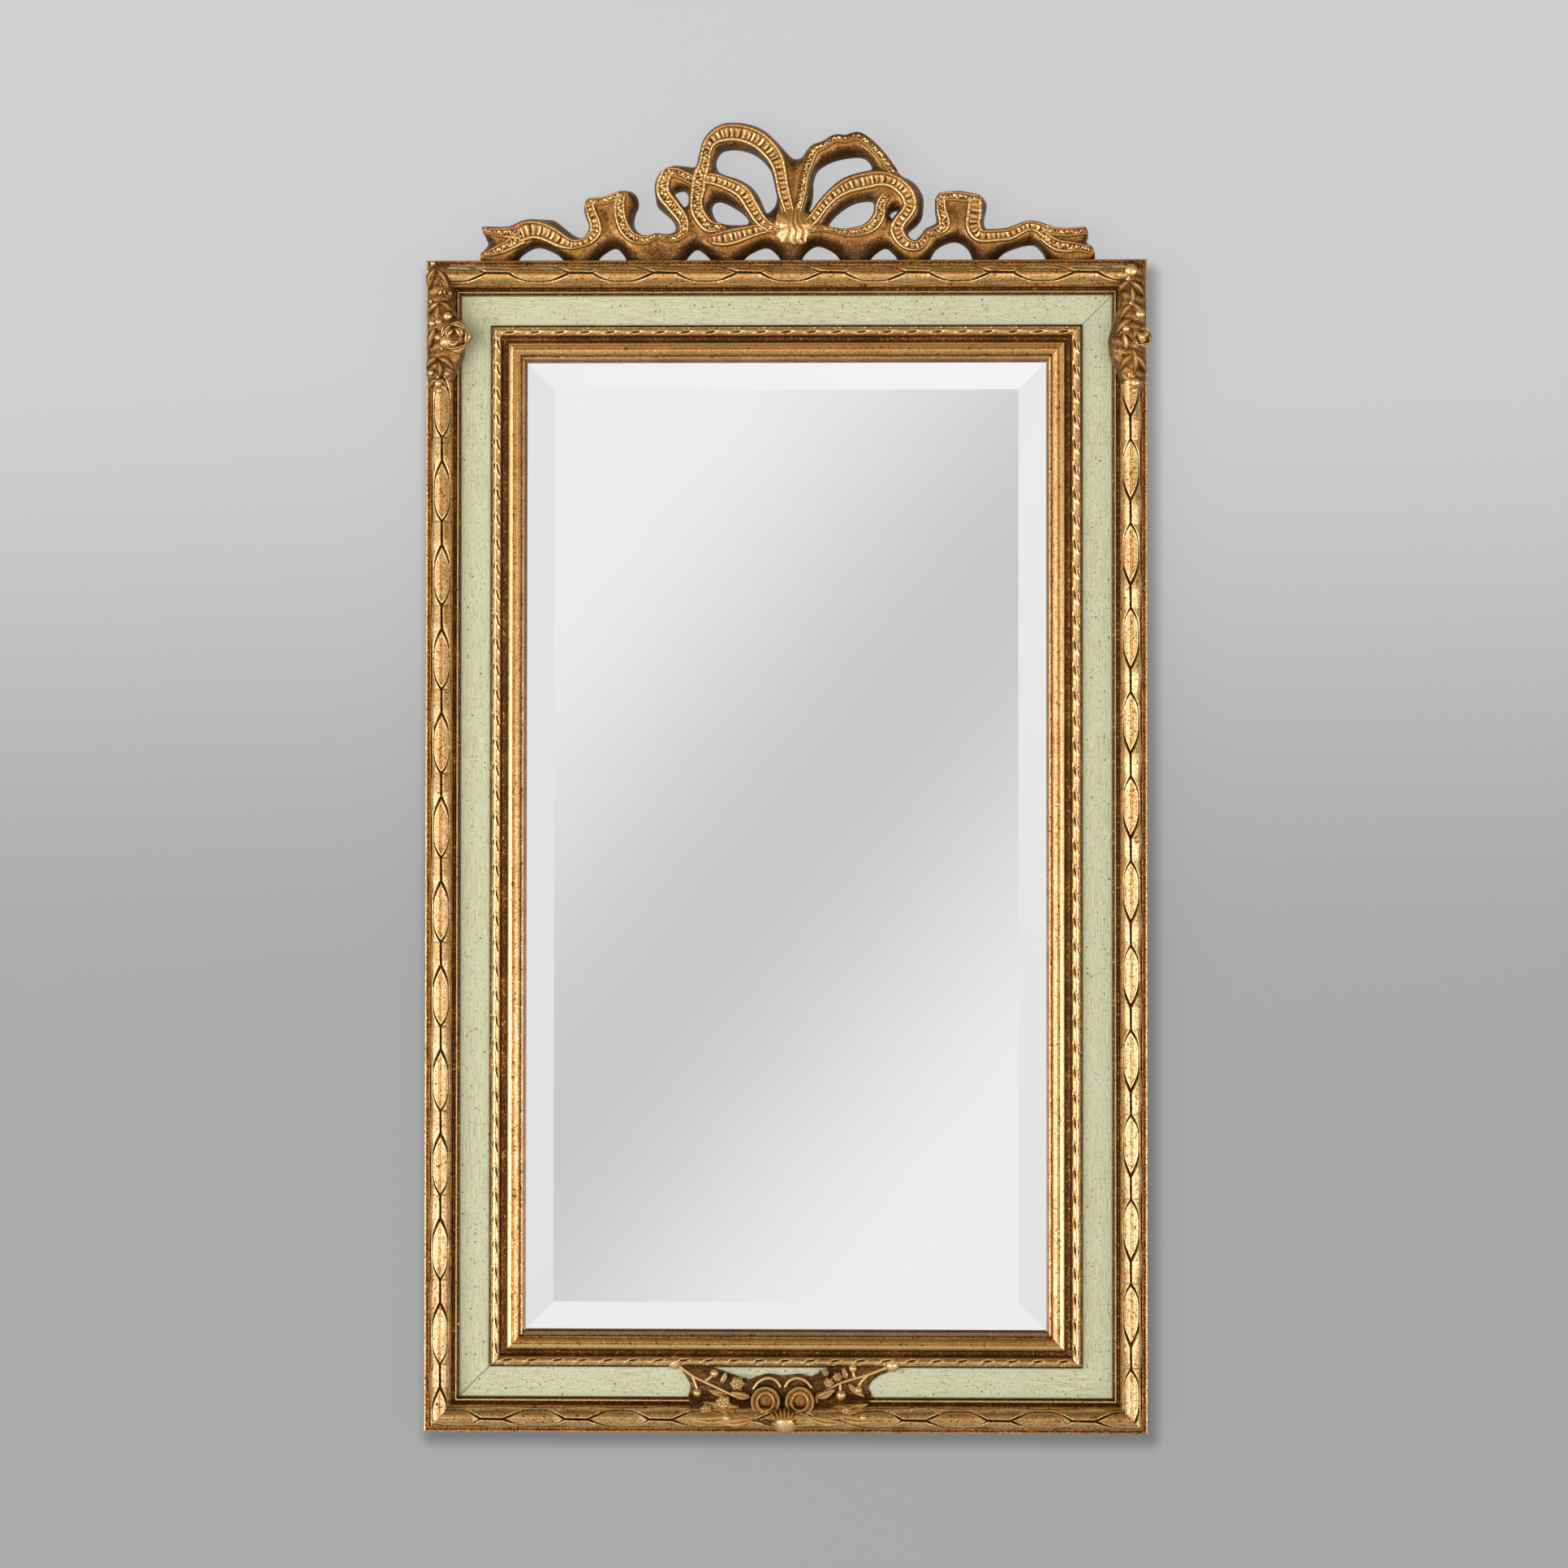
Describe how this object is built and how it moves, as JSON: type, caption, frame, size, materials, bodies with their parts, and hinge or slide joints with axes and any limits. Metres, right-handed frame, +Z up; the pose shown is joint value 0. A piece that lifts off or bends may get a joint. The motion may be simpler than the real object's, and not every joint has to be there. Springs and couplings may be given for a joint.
{
  "type": "wall mirror",
  "caption": "Upright wall mirror with a bevelled plate in a gilt and green-painted mitred frame, crowned by a pierced cast bow with ribbon tails, with leaf drops and a flower spray.",
  "frame": {"origin": "on the wall's face, where a hook bears in the hanging ring, at the middle of the frame's width", "axes": "+X to the right seen from the front, +Y into the wall, +Z up"},
  "size_m": [0.5036, 0.043, 0.9105],
  "materials": {
    "green_paint": "aged distemper paint",
    "carved_gilding": "worn gilding, toned",
    "sight_gilding": "worn gilding, toned",
    "cast_gilding": "gilt casting, toned",
    "bare_wood": "bare",
    "mirror_glass": "polished, bevelled",
    "packing_paper": "matt",
    "board": "hardboard",
    "cork": "cork",
    "button_brass": "brushed",
    "hanger_brass": "dull",
    "screw_steel": "zinc plated",
    "felt": "felt"
  },
  "bodies": {
    "frame": {"base_rail_bottom": "green_paint", "outer_moulding_bottom": "carved_gilding", "sight_moulding_bottom": "sight_gilding", "base_rail_left": "green_paint", "outer_moulding_left": "carved_gilding", "sight_moulding_left": "sight_gilding", "base_rail_top": "green_paint", "outer_moulding_top": "carved_gilding", "sight_moulding_top": "sight_gilding", "base_rail_right": "green_paint", "outer_moulding_right": "carved_gilding", "sight_moulding_right": "sight_gilding", "mitre_tongues": "bare_wood", "mirror_plate": "mirror_glass", "packing_sheet": "packing_paper", "backing_board": "board", "glass_blocks": "cork", "turn_button_screws": "screw_steel", "hanger_plate": "hanger_brass", "hanger_screws": "screw_steel", "wall_pads": "felt", "crest": "cast_gilding", "crest_dowels": "bare_wood", "corner_drop_left": "cast_gilding", "corner_drop_right": "cast_gilding", "bottom_spray": "cast_gilding"},
    "turn_button_top_left": {"turn_button_top_left": "button_brass"},
    "turn_button_top_right": {"turn_button_top_right": "button_brass"},
    "turn_button_bottom_left": {"turn_button_bottom_left": "button_brass"},
    "turn_button_bottom_right": {"turn_button_bottom_right": "button_brass"},
    "turn_button_left_upper": {"turn_button_left_upper": "button_brass"},
    "turn_button_left_lower": {"turn_button_left_lower": "button_brass"},
    "turn_button_right_upper": {"turn_button_right_upper": "button_brass"},
    "turn_button_right_lower": {"turn_button_right_lower": "button_brass"},
    "hanger_ring": {"hanger_ring": "hanger_brass"}
  },
  "joints": [
    {"name": "turn_button_top_left_swivel", "type": "hinge", "parent": "frame", "child": "turn_button_top_left", "pos_m": [-0.09, -0.006, -0.042], "axis": [0, 1, 0], "continuous": true},
    {"name": "turn_button_top_right_swivel", "type": "hinge", "parent": "frame", "child": "turn_button_top_right", "pos_m": [0.09, -0.006, -0.042], "axis": [0, 1, 0], "continuous": true},
    {"name": "turn_button_bottom_left_swivel", "type": "hinge", "parent": "frame", "child": "turn_button_bottom_left", "pos_m": [-0.09, -0.006, -0.748], "axis": [0, 1, 0], "continuous": true},
    {"name": "turn_button_bottom_right_swivel", "type": "hinge", "parent": "frame", "child": "turn_button_bottom_right", "pos_m": [0.09, -0.006, -0.748], "axis": [0, 1, 0], "continuous": true},
    {"name": "turn_button_left_upper_swivel", "type": "hinge", "parent": "frame", "child": "turn_button_left_upper", "pos_m": [-0.197, -0.006, -0.185], "axis": [0, 1, 0], "continuous": true},
    {"name": "turn_button_left_lower_swivel", "type": "hinge", "parent": "frame", "child": "turn_button_left_lower", "pos_m": [-0.197, -0.006, -0.605], "axis": [0, 1, 0], "continuous": true},
    {"name": "turn_button_right_upper_swivel", "type": "hinge", "parent": "frame", "child": "turn_button_right_upper", "pos_m": [0.197, -0.006, -0.185], "axis": [0, 1, 0], "continuous": true},
    {"name": "turn_button_right_lower_swivel", "type": "hinge", "parent": "frame", "child": "turn_button_right_lower", "pos_m": [0.197, -0.006, -0.605], "axis": [0, 1, 0], "continuous": true},
    {"name": "hanger_ring_fold", "type": "hinge", "parent": "frame", "child": "hanger_ring", "pos_m": [0, -0.00325, -0.015], "axis": [-1, 0, 0], "range_deg": [0, 170]}
  ]
}
